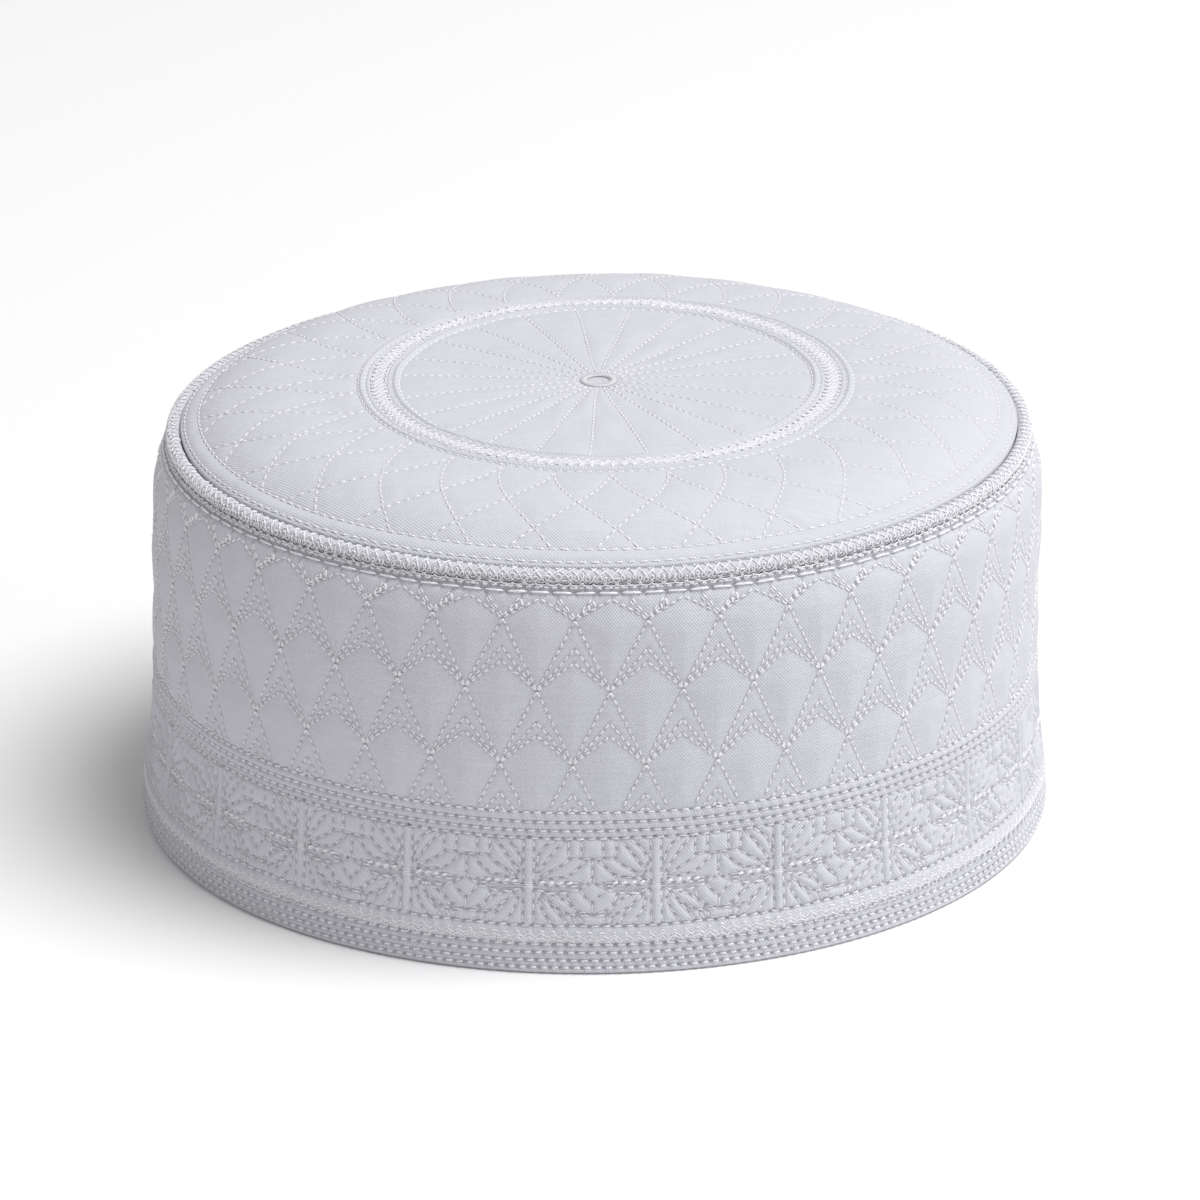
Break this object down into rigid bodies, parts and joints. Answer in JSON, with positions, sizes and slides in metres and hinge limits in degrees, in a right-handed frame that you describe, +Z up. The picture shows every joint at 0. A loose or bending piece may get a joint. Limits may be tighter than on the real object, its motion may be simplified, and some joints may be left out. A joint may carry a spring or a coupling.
{
  "type": "muslim prayer cap",
  "caption": "Round white prayer cap with a flat crown, a corded rim and an upright side band quilted with rows of kites above a stitched leaf border.",
  "frame": {"origin": "middle of the hem's oval on the surface that the cap rests on", "axes": "+Z up through the crown, +X along the longer axis of the oval to the right in the picture, -Y towards the viewer"},
  "size_m": [0.1838, 0.174, 0.0902],
  "materials": {
    "cotton_cloth": "matt fine twill, quilted",
    "cotton_thread": "slightly shiny twisted thread"
  },
  "bodies": {
    "root": {"crown_panel": "cotton_cloth", "side_band": "cotton_cloth", "rim_piping": "cotton_thread", "crown_eyelet": "cotton_thread"}
  },
  "joints": []
}
